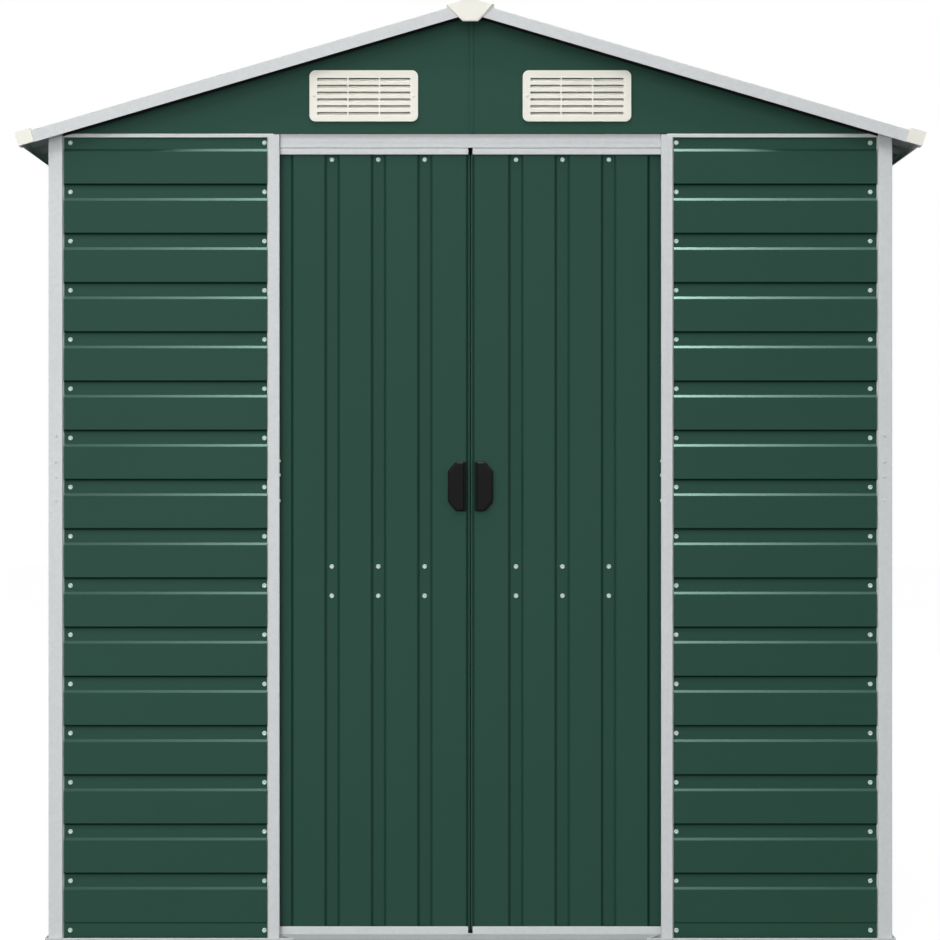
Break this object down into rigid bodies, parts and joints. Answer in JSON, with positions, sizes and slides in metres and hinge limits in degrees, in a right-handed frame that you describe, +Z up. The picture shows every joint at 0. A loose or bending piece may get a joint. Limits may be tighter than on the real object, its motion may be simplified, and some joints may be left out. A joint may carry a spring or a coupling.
{
  "type": "metal storage shed",
  "caption": "Metal garden shed with ribbed sheet walls, a low pitched ribbed roof, louvred gable vents and a pair of sliding doors in the front.",
  "frame": {"origin": "on the ground below the middle of the roof", "axes": "+X to the right when facing the doors, +Y from the doors to the rear wall, +Z up"},
  "size_m": [1.91, 2.15, 1.984],
  "materials": {
    "green_sheet": "satin dark green coil-coated steel",
    "silver_frame": "satin light grey zinc-coated steel",
    "cream_plastic": "fine satin cream plastic",
    "black_plastic": "satin black plastic"
  },
  "bodies": {
    "shed": {"base_rails_front": "silver_frame", "base_rail_rear": "silver_frame", "base_rail_left": "silver_frame", "base_rail_right": "silver_frame", "door_sill": "silver_frame", "door_guide": "silver_frame", "front_left_post": "silver_frame", "front_right_post": "silver_frame", "rear_left_post": "silver_frame", "rear_right_post": "silver_frame", "left_door_jamb": "silver_frame", "right_door_jamb": "silver_frame", "side_wall_posts": "silver_frame", "rear_wall_post": "silver_frame", "top_rails_front": "silver_frame", "top_rail_rear": "silver_frame", "top_rail_left": "silver_frame", "top_rail_right": "silver_frame", "door_track": "silver_frame", "front_left_wall": "green_sheet", "front_right_wall": "green_sheet", "left_wall_front": "green_sheet", "left_wall_rear": "green_sheet", "right_wall_front": "green_sheet", "right_wall_rear": "green_sheet", "rear_wall_left": "green_sheet", "rear_wall_right": "green_sheet", "front_gable_left": "green_sheet", "front_gable_right": "green_sheet", "rear_gable_left": "green_sheet", "rear_gable_right": "green_sheet", "front_vents": "cream_plastic", "rear_vents": "cream_plastic", "ridge_beam": "silver_frame", "roof_purlins": "silver_frame", "left_roof_sheet": "green_sheet", "right_roof_sheet": "green_sheet", "ridge_flashing": "green_sheet", "front_verge_trims": "silver_frame", "rear_verge_trims": "silver_frame", "eave_trims": "silver_frame", "ridge_end_caps": "cream_plastic", "eave_corner_caps": "cream_plastic"},
    "left_door": {"left_door_sheet": "green_sheet", "left_door_rails": "silver_frame", "left_door_brace": "silver_frame", "left_door_handle": "black_plastic", "left_door_hangers": "silver_frame"},
    "right_door": {"right_door_sheet": "green_sheet", "right_door_rails": "silver_frame", "right_door_brace": "silver_frame", "right_door_handle": "black_plastic", "right_door_hangers": "silver_frame"}
  },
  "joints": [
    {"name": "left_door_slide", "type": "slide", "parent": "shed", "child": "left_door", "axis": [-1, 0, 0], "range_m": [0, 0.345]},
    {"name": "right_door_slide", "type": "slide", "parent": "shed", "child": "right_door", "axis": [1, 0, 0], "range_m": [0, 0.345]}
  ]
}
